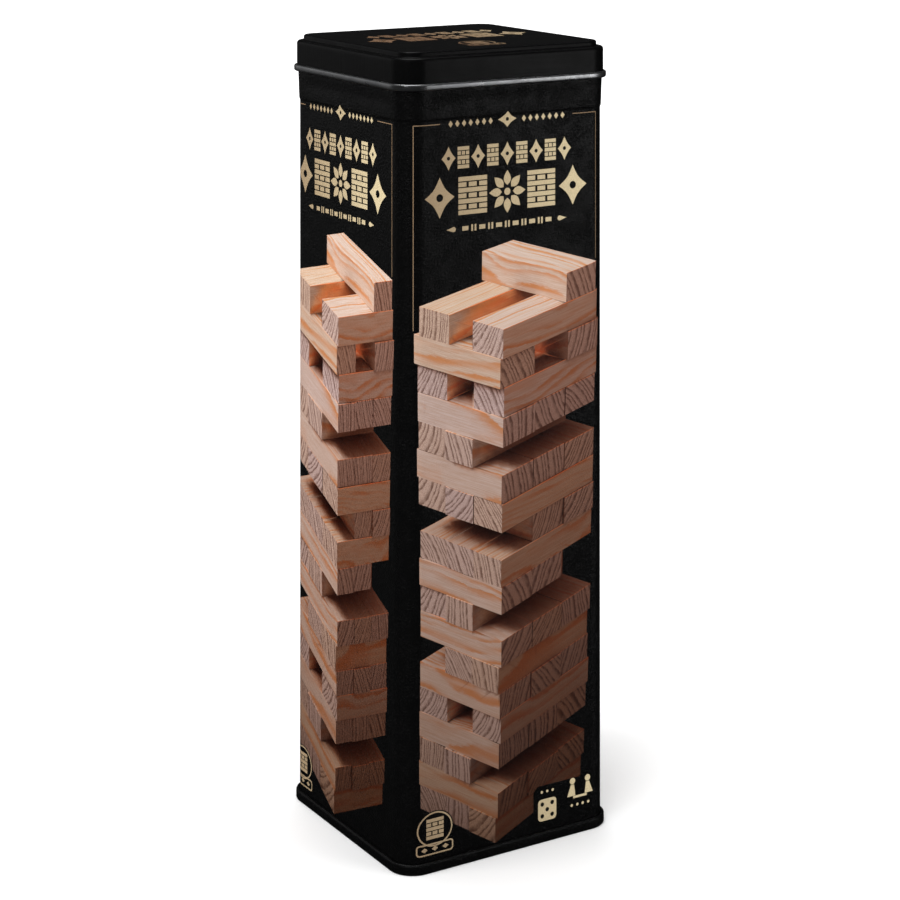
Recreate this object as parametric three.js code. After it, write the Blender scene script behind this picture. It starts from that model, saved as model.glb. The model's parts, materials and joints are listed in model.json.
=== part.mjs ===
// A storage tin for a table-top tumbling-tower game: a tall rounded-square tinplate tin with a slip lid,
// a folded rules leaflet, and forty-eight wood blocks packed in sixteen crossed tiers.
// Millimetres, +Z up, origin on the floor under the middle of the tin.

import * as THREE from 'three';

// Tin
const BODY_HALF_WIDTH = 40.5; // middle of the tin to the outside of a flat wall
const CORNER_RADIUS = 7.6; // outside of the body's upright corners
const TIN_HEIGHT = 270.8; // floor to the raised panel of the closed lid
const SHEET = 0.3; // tinplate with its print and lacquer
const CORNER_STEPS = 6; // facets round each upright corner
const CORNER_CENTRE = BODY_HALF_WIDTH - CORNER_RADIUS;

// Body wall
const FOOT_HEIGHT = 0.5; // the wall's lower edge, inside the bottom seam
const FLARE_FOOT_HEIGHT = 247.5; // where the wall starts to widen towards the mouth
const FLARE_STEP = 0.3; // the small step at the foot of the flare
const FLARE_STEP_HEIGHT = 1;
const FLARE = 0.6; // how far the mouth is wider than the wall, each side
const FLARE_TOP_HEIGHT = 257;
const HEM_RADIUS = 0.2; // middle of the sheet, where it folds in at the mouth
const HEM_DEPTH = 3.5;

// Bottom panel, folded round the foot of the wall
const SEAM_PROUD = 1.35; // how far the seam stands outside the wall
const SEAM_HEIGHT = 3.5;
const SEAM_CORNER = 0.55;
const SEAM_CLEARANCE = 0.1; // between the seam's folds and the wall in it
const CHANNEL_FLOOR = 0.4;
const CHUCK_WALL = 0.4; // the upright ring inside the wall
const CHUCK_CORNER = 0.35;
const PANEL_TOP = 2.5; // the floor that the blocks stand on
const PANEL_CORNER = 0.4;

// Lid
const LID_PROUD = 1.1; // outside of the skirt from the outside of the wall
const LID_STEP = 1.9; // the raised panel above the shoulder
const PANEL_INSET = 2.4; // edge of the raised panel from the outside of the skirt
const PANEL_ROUND = 0.6;
const SHOULDER_ROUND = 0.9;
const CURL_PROUD = 2.1; // outside of the curl from the outside of the wall
const CURL_TOP = 260.35;
const CURL_BOTTOM = 258.05;
const CURL_END_ANGLE = 1.75; // where the rolled edge stops, just short of the skirt, in radians
const LID_SEAT_GAP = 0.1; // between the lid's shoulder and the rim

// Blocks
const BLOCK_LENGTH = 75;
const BLOCK_WIDTH = 25;
const BLOCK_THICKNESS = 16;
const BLOCK_EASE = 0.6; // the eased edges
const BLOCKS_PER_TIER = 3;
const TIERS = 16;
const SIDE_GAP = 0.1; // between neighbours in a tier
const STACK_GAP = 0.05; // between one tier and the next

// Rules leaflet, one sheet in a three-panel fold
const LEAFLET_LENGTH = 68;
const LEAFLET_WIDTH = 46;
const LEAFLET_SHEET = 0.25;
const LEAFLET_PITCH = 0.6; // from one panel of the fold to the next
const LEAFLET_GAP = 0.1; // above the top tier

const wallMiddle = BODY_HALF_WIDTH - SHEET / 2;

function material(colour, roughness, metalness) {
  return new THREE.MeshStandardMaterial({ color: colour, roughness, metalness });
}

// Names a shape, gives it a material and adds it to the model.
function addPart(group, name, geometry, partMaterial) {
  const mesh = new THREE.Mesh(geometry, partMaterial);
  mesh.name = name;
  group.add(mesh);
  return mesh;
}

// The closed outline of a sheet of even thickness whose middle follows a path of points.
// The path's right-hand side comes first, so a path that runs outwards or upwards gives a solid facing out.
function sheetOutline(path, thickness) {
  const stretches = path.slice(1).map((point, i) => point.clone().sub(path[i]).normalize());
  const right = [];
  const left = [];
  path.forEach((point, i) => {
    const arriving = stretches[Math.max(i - 1, 0)];
    const leaving = stretches[Math.min(i, stretches.length - 1)];
    const along = arriving.clone().add(leaving).normalize();
    const mitre = thickness / 2 / along.dot(leaving);
    const side = new THREE.Vector2(along.y, -along.x).multiplyScalar(mitre);
    right.push(point.clone().add(side));
    left.push(point.clone().sub(side));
  });
  return [...right, ...left.reverse()];
}

// Sweeps an outline of (half-width, height) points round the rounded square.
// It is a lathe whose four quarter turns are moved apart to the corners, which leaves the flat walls between them.
function squareLathe(outline) {
  const onAxis = outline[0].x === 0;
  const profile = onAxis ? outline : [...outline, outline[0].clone()];
  const turns = 4 * (CORNER_STEPS + 1);
  const geometry = new THREE.LatheGeometry(profile, turns);
  const position = geometry.attributes.position;
  for (let turn = 0; turn <= turns; turn += 1) {
    const quarter = Math.floor(turn / (CORNER_STEPS + 1)) % 4;
    const step = turn % (CORNER_STEPS + 1);
    const angle = (quarter + step / CORNER_STEPS) * Math.PI / 2;
    const cornerX = quarter === 0 || quarter === 3 ? CORNER_CENTRE : -CORNER_CENTRE;
    const cornerY = quarter < 2 ? CORNER_CENTRE : -CORNER_CENTRE;
    profile.forEach((point, i) => {
      const reach = point.x - CORNER_CENTRE;
      const x = point.x === 0 ? 0 : cornerX + reach * Math.cos(angle);
      const y = point.x === 0 ? 0 : cornerY + reach * Math.sin(angle);
      position.setXYZ(turn * profile.length + i, x, y, point.y);
    });
  }
  geometry.computeVertexNormals();
  return geometry;
}

// The wall: straight from the seam to the flare, then a hem folded in at the mouth.
function bodyGeometry() {
  const rim = TIN_HEIGHT - LID_STEP - SHEET - LID_SEAT_GAP;
  const hemCentre = rim - SHEET / 2 - HEM_RADIUS;
  const mouth = wallMiddle + FLARE;
  const path = new THREE.Path();
  path.moveTo(wallMiddle, FOOT_HEIGHT);
  path.lineTo(wallMiddle, FLARE_FOOT_HEIGHT);
  path.lineTo(wallMiddle + FLARE_STEP, FLARE_FOOT_HEIGHT + FLARE_STEP_HEIGHT);
  path.lineTo(mouth, FLARE_TOP_HEIGHT);
  path.lineTo(mouth, hemCentre);
  path.absarc(mouth - HEM_RADIUS, hemCentre, HEM_RADIUS, 0, Math.PI);
  path.lineTo(mouth - 2 * HEM_RADIUS, hemCentre - HEM_DEPTH);
  return squareLathe(sheetOutline(path.getPoints(2), SHEET));
}

// The bottom: a panel held up off the floor, a ring down inside the wall, and a seam round the outside of it.
function baseGeometry() {
  const chuckOuter = BODY_HALF_WIDTH - SHEET - SEAM_CLEARANCE;
  const chuckInner = chuckOuter - CHUCK_WALL;
  const seamInner = BODY_HALF_WIDTH + SEAM_CLEARANCE;
  const seamOuter = BODY_HALF_WIDTH + SEAM_PROUD;
  const underside = PANEL_TOP - SHEET;
  const innerTurn = PANEL_CORNER - SHEET / 2;
  const path = new THREE.Path();
  path.moveTo(0, underside);
  path.lineTo(chuckInner - innerTurn, underside);
  path.absarc(chuckInner - innerTurn, underside - innerTurn, innerTurn, Math.PI / 2, 0, true);
  path.lineTo(chuckInner, CHUCK_CORNER);
  path.absarc(chuckInner + CHUCK_CORNER, CHUCK_CORNER, CHUCK_CORNER, Math.PI, 1.5 * Math.PI);
  path.lineTo(seamOuter - SEAM_CORNER, 0);
  path.absarc(seamOuter - SEAM_CORNER, SEAM_CORNER, SEAM_CORNER, 1.5 * Math.PI, 2 * Math.PI);
  path.lineTo(seamOuter, SEAM_HEIGHT - SEAM_CORNER);
  path.absarc(seamOuter - SEAM_CORNER, SEAM_HEIGHT - SEAM_CORNER, SEAM_CORNER, 0, Math.PI / 2);
  path.lineTo(seamInner, SEAM_HEIGHT);
  path.lineTo(seamInner, CHANNEL_FLOOR);
  path.lineTo(chuckOuter, CHANNEL_FLOOR);
  path.lineTo(chuckOuter, PANEL_TOP - PANEL_CORNER);
  path.absarc(chuckOuter - PANEL_CORNER, PANEL_TOP - PANEL_CORNER, PANEL_CORNER, 0, Math.PI / 2);
  path.lineTo(0, PANEL_TOP);
  return squareLathe(path.getPoints(2));
}

// The lid: a raised panel, a shoulder that sits on the rim, a skirt and an edge rolled outwards.
function lidGeometry() {
  const skirt = BODY_HALF_WIDTH + LID_PROUD - SHEET / 2;
  const panelEdge = BODY_HALF_WIDTH + LID_PROUD - PANEL_INSET - SHEET / 2;
  const panel = TIN_HEIGHT - SHEET / 2;
  const shoulder = panel - LID_STEP;
  const curlOuter = BODY_HALF_WIDTH + CURL_PROUD - SHEET / 2;
  const curlRadius = (curlOuter - skirt) / 2;
  const curlCentre = skirt + curlRadius;
  const curlLow = CURL_BOTTOM + SHEET / 2 + curlRadius;
  const curlHigh = CURL_TOP - SHEET / 2 - curlRadius;
  const path = new THREE.Path();
  path.moveTo(0, panel);
  path.lineTo(panelEdge - PANEL_ROUND, panel);
  path.absarc(panelEdge - PANEL_ROUND, panel - PANEL_ROUND, PANEL_ROUND, Math.PI / 2, 0, true);
  path.lineTo(panelEdge, shoulder + PANEL_ROUND);
  path.absarc(panelEdge + PANEL_ROUND, shoulder + PANEL_ROUND, PANEL_ROUND, Math.PI, 1.5 * Math.PI);
  path.absarc(skirt - SHOULDER_ROUND, shoulder - SHOULDER_ROUND, SHOULDER_ROUND, Math.PI / 2, 0, true);
  path.lineTo(skirt, curlLow);
  path.absarc(curlCentre, curlLow, curlRadius, Math.PI, 2 * Math.PI);
  path.absarc(curlCentre, curlHigh, curlRadius, 0, CURL_END_ANGLE);
  return squareLathe(sheetOutline(path.getPoints(2), SHEET));
}

// A block lying along X with its middle over the origin and its underside at height 0.
function blockGeometry() {
  const x = BLOCK_LENGTH / 2 - BLOCK_EASE;
  const y = BLOCK_WIDTH / 2 - BLOCK_EASE;
  const cut = BLOCK_EASE;
  const face = new THREE.Shape();
  face.moveTo(-x + cut, -y);
  face.lineTo(x - cut, -y);
  face.lineTo(x, -y + cut);
  face.lineTo(x, y - cut);
  face.lineTo(x - cut, y);
  face.lineTo(-x + cut, y);
  face.lineTo(-x, y - cut);
  face.lineTo(-x, -y + cut);
  face.closePath();
  const geometry = new THREE.ExtrudeGeometry(face, {
    depth: BLOCK_THICKNESS - 2 * BLOCK_EASE,
    bevelThickness: BLOCK_EASE,
    bevelSize: BLOCK_EASE,
    bevelSegments: 1,
  });
  return geometry.translate(0, 0, BLOCK_EASE);
}

// The leaflet's fold seen from its end, swept along its length: three panels joined by two round folds.
function leafletGeometry() {
  const half = LEAFLET_WIDTH / 2;
  const lower = LEAFLET_PITCH / 2;
  const upper = 1.5 * LEAFLET_PITCH;
  const outside = LEAFLET_PITCH / 2 + LEAFLET_SHEET / 2;
  const inside = LEAFLET_PITCH / 2 - LEAFLET_SHEET / 2;
  const down = -Math.PI / 2;
  const up = Math.PI / 2;
  const fold = new THREE.Shape();
  fold.moveTo(-half, lower - outside);
  fold.lineTo(half, lower - outside);
  fold.absarc(half, lower, outside, down, up);
  fold.lineTo(-half, upper - inside);
  fold.absarc(-half, upper, inside, down, up - 2 * Math.PI, true);
  fold.lineTo(half, upper + inside);
  fold.lineTo(half, upper + outside);
  fold.absarc(-half, upper, outside, up, up + Math.PI);
  fold.lineTo(half, lower + inside);
  fold.absarc(half, lower, inside, up, down, true);
  fold.lineTo(-half, lower - inside);
  fold.closePath();
  const geometry = new THREE.ExtrudeGeometry(fold, {
    depth: LEAFLET_LENGTH,
    bevelEnabled: false,
    curveSegments: 3,
  });
  geometry.translate(0, LEAFLET_SHEET / 2, -LEAFLET_LENGTH / 2);
  geometry.rotateX(Math.PI / 2);
  return geometry;
}

const game = new THREE.Group();

addPart(game, 'tin_body', bodyGeometry(), material(0x141416, 0.42, 0.35));
addPart(game, 'tin_base', baseGeometry(), material(0x121214, 0.4, 0.35));
addPart(game, 'tin_lid', lidGeometry(), material(0x161618, 0.38, 0.35));

// The tiers cross: blocks lie along X in the odd tiers and along Y in the even ones.
const tierPitch = BLOCK_THICKNESS + STACK_GAP;
const blockPitch = BLOCK_WIDTH + SIDE_GAP;
for (let tier = 0; tier < TIERS; tier += 1) {
  const layer = new THREE.Group();
  layer.position.z = PANEL_TOP + STACK_GAP + tier * tierPitch;
  layer.rotation.z = tier % 2 === 0 ? 0 : Math.PI / 2;
  for (let place = 0; place < BLOCKS_PER_TIER; place += 1) {
    const name = `tier_${String(tier + 1).padStart(2, '0')}_block_${place + 1}`;
    const block = addPart(layer, name, blockGeometry(), material(0xe2b588, 0.7, 0));
    block.position.y = (place - (BLOCKS_PER_TIER - 1) / 2) * blockPitch;
  }
  game.add(layer);
}

const leaflet = addPart(game, 'rules_leaflet', leafletGeometry(), material(0xf1ece0, 0.8, 0));
leaflet.position.z = PANEL_TOP + TIERS * tierPitch + LEAFLET_GAP;

export default game;
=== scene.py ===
"""A table-top tumbling tower game in its storage tin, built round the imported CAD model.

The tin is printed tinplate: a wall with a hem at its mouth, four printed wall panels, a seamed bottom and a
slip lid with a bare rolled edge. Inside are forty-eight pine blocks and a folded leaflet. The print on each
wall is a picture of a half-played tower, worked out from a small model of that tower, under gold ornaments.
Lengths are in metres unless a name or comment says millimetres.
"""

import json
import math
import random
from collections import namedtuple

import bmesh
import bpy
import numpy as np
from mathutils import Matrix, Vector
from mathutils.bvhtree import BVHTree
from mathutils.geometry import delaunay_2d_cdt

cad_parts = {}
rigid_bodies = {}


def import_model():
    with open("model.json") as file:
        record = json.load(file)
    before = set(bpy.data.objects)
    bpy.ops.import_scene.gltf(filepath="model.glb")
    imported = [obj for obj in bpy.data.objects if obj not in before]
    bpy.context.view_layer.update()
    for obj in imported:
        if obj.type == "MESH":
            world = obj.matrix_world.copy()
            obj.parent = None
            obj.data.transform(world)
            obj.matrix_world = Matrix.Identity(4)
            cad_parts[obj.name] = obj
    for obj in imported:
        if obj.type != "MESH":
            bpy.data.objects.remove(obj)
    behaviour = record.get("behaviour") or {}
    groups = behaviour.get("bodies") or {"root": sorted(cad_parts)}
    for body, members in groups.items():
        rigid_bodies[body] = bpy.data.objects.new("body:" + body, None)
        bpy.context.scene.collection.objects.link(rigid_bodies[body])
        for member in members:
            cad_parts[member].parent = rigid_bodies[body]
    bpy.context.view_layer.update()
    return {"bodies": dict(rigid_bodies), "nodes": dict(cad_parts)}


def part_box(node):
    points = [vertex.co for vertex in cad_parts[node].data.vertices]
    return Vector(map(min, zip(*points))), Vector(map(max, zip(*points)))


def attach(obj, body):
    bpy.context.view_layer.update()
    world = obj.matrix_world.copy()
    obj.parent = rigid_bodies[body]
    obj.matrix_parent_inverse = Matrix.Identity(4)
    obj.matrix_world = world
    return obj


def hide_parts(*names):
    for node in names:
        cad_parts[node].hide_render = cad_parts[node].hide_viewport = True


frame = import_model()

MM = 0.001
QUARTER_TURN = math.pi / 2

# Tin, worked out from the CAD boxes
SEAM_PROUD = 1.35 * MM
FLARE = 0.6 * MM
LID_PROUD = 1.1 * MM
CORNER_RADIUS = 7.6 * MM
SHEET = 0.3 * MM
PRINT = 0.05 * MM  # the printed panels stand this far outside the sheet under them
base_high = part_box("tin_base")[1]
wall_low, wall_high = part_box("tin_body")
lid_low, lid_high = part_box("tin_lid")
HALF = base_high.x - SEAM_PROUD  # middle of the tin to the outside of a flat wall
CENTRE = HALF - CORNER_RADIUS
QUARTER = 2 * CENTRE + QUARTER_TURN * CORNER_RADIUS  # once round a wall and its two half corners
FLARE_FOOT = wall_high.z - 21 * MM
FLARE_TOP = wall_high.z - 11.5 * MM
FLARE_HEIGHTS = [float(height) for height in np.linspace(FLARE_FOOT, FLARE_TOP, 25)]
STEP_PROUD = 0.3 * MM
GROOVE_HEIGHT = FLARE_TOP - 3.2 * MM
GROOVE_DEPTH, GROOVE_REACH, GROOVE_FADE = 0.22 * MM, 2.4 * MM, 5 * MM
SEAM_TOP = base_high.z


# === Node helpers ===


class Nodes:
    """Builds the node tree of a new material or world from plain calls."""

    def __init__(self, name, kind="materials", shader="Principled BSDF"):
        self.owner = getattr(bpy.data, kind).new(name)
        self.owner.use_nodes = True
        self.tree = self.owner.node_tree
        self.shader = self.tree.nodes[shader]

    def give(self, socket, value):
        if isinstance(value, bpy.types.NodeSocket):
            self.tree.links.new(value, socket)
        else:
            socket.default_value = (*value, 1) if socket.type == "RGBA" else value

    def add(self, kind, inputs=None, **settings):
        node = self.tree.nodes.new("ShaderNode" + kind)
        for key, value in settings.items():
            setattr(node, key, value)
        for key, value in (inputs or {}).items():
            self.give(node.inputs[key], value)
        return node

    def maths(self, operation, a, b=0.0, c=0.0):
        return self.add("Math", {0: a, 1: b, 2: c}, operation=operation).outputs[0]

    def plus(self, a, b):
        return self.maths("ADD", a, b)

    def minus(self, a, b):
        return self.maths("SUBTRACT", a, b)

    def times(self, a, b):
        return self.maths("MULTIPLY", a, b)

    def vector(self, operation, a, b=(0, 0, 0)):
        return self.add("VectorMath", {0: a, 1: b}, operation=operation).outputs[0]

    def stretched(self, a, scale):
        return self.vector("MULTIPLY", a, scale)

    def length(self, a):
        return self.add("VectorMath", {0: a}, operation="LENGTH").outputs["Value"]

    def parts(self, a):
        return self.add("SeparateXYZ", {0: a}).outputs

    def join(self, x, y, z):
        return self.add("CombineXYZ", {0: x, 1: y, 2: z}).outputs[0]

    def ramp(self, value, low, high, to_low=0.0, to_high=1.0):
        names = {"Value": value, "From Min": low, "From Max": high, "To Min": to_low, "To Max": to_high}
        return self.add("MapRange", names, interpolation_type="SMOOTHSTEP").outputs[0]

    def mix(self, share, a, b, blend="MIX"):
        node = self.add("Mix", data_type="RGBA", blend_type=blend)
        self.give(node.inputs[0], share)
        self.give(node.inputs[6], a)
        self.give(node.inputs[7], b)
        return node.outputs[2]

    def noise(self, place, scale, detail=2.0, roughness=0.5, stretch=None):
        place = self.stretched(place, stretch) if stretch else place
        names = {"Vector": place, "Scale": scale, "Detail": detail, "Roughness": roughness}
        return self.add("TexNoise", names).outputs[0]

    def object_place(self):
        return self.add("TexCoord").outputs["Object"]

    def attribute(self, name, output="Fac"):
        return self.add("Attribute", attribute_name=name, attribute_type="GEOMETRY").outputs[output]

    def bump(self, height, distance, strength):
        names = {"Height": height, "Distance": distance, "Strength": strength}
        return self.add("Bump", names).outputs[0]

    def finish(self, colour, roughness, normal=None, specular=0.5, metallic=0.0, **others):
        others.update(Base_Color=colour, Roughness=roughness, Specular_IOR_Level=specular, Metallic=metallic)
        if normal is not None:
            others["Normal"] = normal
        for key, value in others.items():
            self.give(self.shader.inputs[key.replace("_", " ")], value)
        return self.owner


# === Materials ===


def leather_height(n):
    """The fine slanting wrinkles that are rolled into the printed sheet."""
    x, y, z = n.parts(n.object_place())
    slanted = n.minus(n.times(z, 1.7), n.times(n.plus(x, y), 0.8))
    place = n.join(x, y, slanted)
    drift = n.times(n.noise(place, 420), 0.0011)
    place = n.vector("ADD", place, n.join(drift, drift, drift))
    cells = n.add("TexVoronoi", {"Vector": place, "Scale": 760.0}, feature="DISTANCE_TO_EDGE").outputs[0]
    wrinkle = n.ramp(cells, 0.0, 0.32)
    creases = n.noise(place, 1050, 2.0, 0.6)
    patches = n.ramp(n.noise(n.object_place(), 190, 1.0), 0.35, 0.62, 0.35, 1.0)
    return n.plus(n.times(wrinkle, patches), n.times(creases, 1.6))


def soft_emboss(n):
    """The emboss where ink fills it."""
    return n.bump(leather_height(n), 0.00007, 0.55)


def lacquer_roughness(n):
    """The lacquer over the print, which is a little uneven."""
    blotches = n.noise(n.object_place(), 45, 3.0, 0.6)
    return n.ramp(blotches, 0.3, 0.7, 0.30, 0.40)


def make_black_print():
    """Black printed tinplate with the leather emboss and faint paler specks."""
    n = Nodes("black_print")
    specks = n.ramp(n.noise(n.object_place(), 1500, 3.0, 0.7), 0.62, 0.8)
    black = n.mix(n.times(specks, 0.3), (0.0014, 0.0014, 0.0015), (0.010, 0.010, 0.011))
    return n.finish(black, lacquer_roughness(n), n.bump(leather_height(n), 0.0001, 0.9))


def make_lid_print():
    """The lid's black print: no emboss on its drawn sides, only faint draw lines, and the emboss on top."""
    n = Nodes("lid_black_print")
    place = n.object_place()
    facing = n.parts(n.add("NewGeometry").outputs["Normal"])
    flat_top = n.ramp(facing[2], 0.6, 0.9)
    upright_lines = n.noise(place, 900, 3.0, 0.65, (1.0, 1.0, 0.05))
    level_lines = n.noise(place, 1100, 3.0, 0.65, (0.04, 0.04, 1.0))
    sideways = n.ramp(n.maths("ABSOLUTE", facing[0]), 0.4, 0.8)
    lines = n.mix(sideways, level_lines, upright_lines)
    height = n.mix(flat_top, lines, n.times(leather_height(n), 0.6))
    specks = n.ramp(n.noise(place, 1300, 3.0, 0.7), 0.6, 0.8, 0.0, 0.3)
    black = n.mix(specks, (0.0016, 0.0016, 0.0017), (0.010, 0.010, 0.011))
    return n.finish(black, lacquer_roughness(n), n.bump(height, 0.00008, 0.6), 0.24)


def make_bare_tin():
    """Bright bare tinplate with fine rolling lines and a slight grey bloom."""
    n = Nodes("bare_tinplate")
    place = n.object_place()
    lines = n.noise(place, 1800, stretch=(0.25, 0.25, 1.0))
    bloom = n.noise(place, 130, 4.0, 0.6)
    colour = n.mix(n.ramp(bloom, 0.35, 0.7), (0.66, 0.67, 0.68), (0.52, 0.53, 0.55))
    rough = n.ramp(n.noise(place, 500, 3.0, 0.6), 0.3, 0.7, 0.27, 0.36)
    return n.finish(colour, rough, n.bump(lines, 0.000012, 0.4), metallic=1.0)


def pine_colour(n):
    """Pine, from a mesh's own values: the place in the block (along, across, up, in millimetres), the block's
    seed, and 1 on an end.

    Growth rings are cylinders round a pith that lies well outside the block, mostly to one side of it. They
    cross the ends as near-upright stripes, the top as lengthwise lines and the sides as wide wavy bands.
    """
    grain, seed, end = n.attribute("grain", "Vector"), n.attribute("seed", "Vector"), n.attribute("end")
    sx, sy, sz = n.parts(seed)
    along, across, up = n.parts(grain)
    shifted = n.vector("ADD", grain, n.stretched(seed, (911.0, 677.0, 523.0)))

    def streaks(lengthwise, crosswise, detail=1.0, roughness=0.5):
        return n.noise(shifted, 1.0, detail, roughness, (lengthwise, crosswise, crosswise))

    angle = n.times(n.maths("POWER", n.maths("ABSOLUTE", n.minus(sx, 0.5)), 1.2), 1.9)
    angle = n.times(angle, n.maths("SIGN", n.minus(sy, 0.5)))
    reach = n.maths("MULTIPLY_ADD", sy, 70.0, 30.0)
    pith_across = n.times(n.maths("COSINE", angle), reach)
    pith_up = n.times(n.maths("SINE", angle), reach)
    radius = n.length(n.join(n.plus(across, pith_across), n.plus(up, pith_up), 0.0))
    for size, wave in (
        (9.0, streaks(0.020, 0.03, 1.0, 0.4)),
        (1.5, streaks(0.05, 0.22, 2.0, 0.55)),
        (1.1, streaks(0.3, 1.3, 2.0, 0.7)),
    ):
        radius = n.plus(radius, n.times(n.minus(wave, 0.5), size))
    radius = n.plus(radius, n.times(n.maths("SINE", n.times(radius, 0.55)), 0.9))
    radius = n.plus(radius, n.times(along, n.maths("MULTIPLY_ADD", sz, 0.06, -0.03)))
    width = n.maths("MULTIPLY_ADD", sz, 1.7, 2.3)
    ring = n.maths("FRACT", n.maths("DIVIDE", radius, width))
    soft = n.times(n.ramp(ring, 0.25, 0.80), n.ramp(ring, 0.86, 1.0, 1.0, 0.0))
    crisp = n.times(n.ramp(ring, 0.36, 0.80), n.ramp(ring, 0.88, 0.98, 1.0, 0.0))
    uneven = n.ramp(streaks(0.014, 0.17), 0.36, 0.62, 0.18, 1.0)
    crisp = n.times(crisp, n.ramp(streaks(0.3, 0.3), 0.3, 0.6, 0.5, 1.0))
    fibre, pores = streaks(0.05, 3.0, 2.0, 0.6), streaks(4.0, 4.2, 2.0, 0.75)
    side_light = n.mix(n.ramp(fibre, 0.32, 0.68), (0.86, 0.71, 0.64), (0.73, 0.53, 0.42))
    side = n.mix(n.times(n.times(soft, uneven), 0.95), side_light, (0.78, 0.33, 0.12))
    end_light = n.mix(n.ramp(pores, 0.40, 0.60), (0.98, 0.80, 0.76), (0.50, 0.34, 0.29))
    ends = n.mix(n.times(crisp, 0.85), end_light, (0.20, 0.095, 0.065))
    tint = n.mix(n.maths("FRACT", n.times(sx, 7.0)), (0.97, 0.99, 1.06), (1.0, 0.96, 0.84))
    colour = n.mix(1.0, n.mix(end, side, ends), tint, "MULTIPLY")
    height = n.plus(n.times(crisp, -0.5), n.mix(end, fibre, pores))
    return colour, height


def make_pine():
    """The loose blocks' sanded, unvarnished pine."""
    n = Nodes("pine")
    colour, height = pine_colour(n)
    colour = n.mix(1.0, colour, (0.84, 0.83, 0.82), "MULTIPLY")
    normal = n.bump(height, 0.00012, 0.5)
    return n.finish(colour, n.ramp(height, -0.3, 0.8, 0.62, 0.78), normal, 0.3)


def make_tower_print():
    """The printed tower: pine, lit as the picture is, under the tin's own lacquer and emboss."""
    n = Nodes("tower_print")
    lit = n.mix(1.0, pine_colour(n)[0], n.attribute("light", "Color"), "MULTIPLY")
    rim = n.parts(n.attribute("rim", "Vector"))
    worn = n.noise(n.object_place(), 420)
    edge = n.ramp(n.plus(rim[0], n.times(worn, 0.5)), 0.35, 0.75, 1.0, 0.0)
    edge_light = n.mix(1.0, lit, (2.4, 1.3, 0.65), "MULTIPLY")
    lit = n.mix(n.times(edge, rim[1]), lit, edge_light)
    return n.finish(lit, lacquer_roughness(n), soft_emboss(n), 0.3)


def make_gold_ink():
    """Gold ink with a fine sparkle: the ink's own gold, graded from brown on the left to pale cream on the
    right as a painted sheen.
    """
    n = Nodes("gold_ink")
    # painted sheen: the ink runs from the brown on the left to the cream on the right
    ink = n.mix(n.attribute("fade"), (0.19, 0.105, 0.055), (0.72, 0.60, 0.36))
    sparkle = n.noise(n.object_place(), 3800, 2.0, 0.7)
    ink = n.mix(n.ramp(sparkle, 0.42, 0.68, 0.0, 0.45), ink, (0.16, 0.10, 0.055))
    return n.finish(ink, 0.42, soft_emboss(n), metallic=0.08)


def make_paper():
    """The leaflet: uncoated paper with a fibrous tooth and a slight warm unevenness."""
    n = Nodes("leaflet_paper")
    place = n.object_place()
    cloud = n.noise(place, 90, 3.0, 0.6)
    fibres = n.noise(place, 2600, 3.0, 0.7, (1.0, 0.3, 1.0))
    colour = n.mix(n.ramp(cloud, 0.3, 0.7), (0.86, 0.84, 0.79), (0.80, 0.77, 0.70))
    colour = n.mix(n.ramp(fibres, 0.55, 0.75, 0, 0.25), colour, (0.66, 0.62, 0.55))
    return n.finish(colour, 0.86, n.bump(fibres, 0.00003, 0.6), 0.2)


def make_brown_ink():
    """The leaflet's ink: one flat brown that lets a little of the paper's tooth through."""
    n = Nodes("brown_ink")
    place = n.object_place()
    thin = n.noise(place, 2600, 3.0, 0.7, (1.0, 0.3, 1.0))
    colour = n.mix(n.ramp(thin, 0.5, 0.8, 0, 0.5), (0.10, 0.06, 0.035), (0.42, 0.34, 0.26))
    return n.finish(colour, 0.8, n.bump(thin, 0.00002, 0.5), 0.2)


black_print = make_black_print()
lid_print = make_lid_print()
bare_tin = make_bare_tin()
pine = make_pine()
tower_print = make_tower_print()
gold_ink = make_gold_ink()
paper = make_paper()
brown_ink = make_brown_ink()


# === Mesh helpers ===


def add_object(name, data):
    thing = bpy.data.objects.new(name, data)
    bpy.context.scene.collection.objects.link(thing)
    return thing


def new_mesh(name, points, faces, materials):
    mesh = bpy.data.meshes.new(name)
    mesh.from_pydata([tuple(p) for p in points], [], faces)
    mesh.update()
    for material in materials:
        mesh.materials.append(material)
    return mesh


def new_piece(name, points, faces, materials, body, replaces=()):
    """A mesh object that rides on a CAD body."""
    piece = add_object(name, new_mesh(name, points, faces, materials))
    piece.data.shade_smooth()
    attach(piece, body)
    if replaces:
        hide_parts(*replaces)
    return piece


def arc(centre_x, centre_z, radius, start, end, steps):
    """Points on an arc from start to end, in degrees."""
    angles = [math.radians(start + (end - start) * i / steps) for i in range(steps + 1)]
    return [(centre_x + radius * math.cos(a), centre_z + radius * math.sin(a)) for a in angles]


def line(start, end, steps):
    """Points from start towards end, without the end."""
    return [
        (start[0] + (end[0] - start[0]) * i / steps, start[1] + (end[1] - start[1]) * i / steps)
        for i in range(steps)
    ]


def without_repeats(path):
    kept = [path[0]]
    for point in path[1:]:
        if math.dist(point, kept[-1]) > 1e-7:
            kept.append(point)
    return kept


def sheet_sides(path, thickness):
    """The right-hand and left-hand sides of a sheet whose middle follows path."""
    path = [Vector(p) for p in without_repeats(path)]
    ways = [(b - a).normalized() for a, b in zip(path, path[1:])]
    right, left = [], []
    for i, point in enumerate(path):
        arriving = ways[max(i - 1, 0)]
        leaving = ways[min(i, len(ways) - 1)]
        along = (arriving + leaving).normalized()
        side = Vector((along.y, -along.x)) * (thickness / 2 / along.dot(leaving))
        right.append(tuple(point + side))
        left.append(tuple(point - side))
    return right, left


def quarter_turned(x, y, turns):
    """A place after some quarter turns about the tin's axis."""
    for _ in range(turns):
        x, y = -y, x
    return x, y


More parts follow.
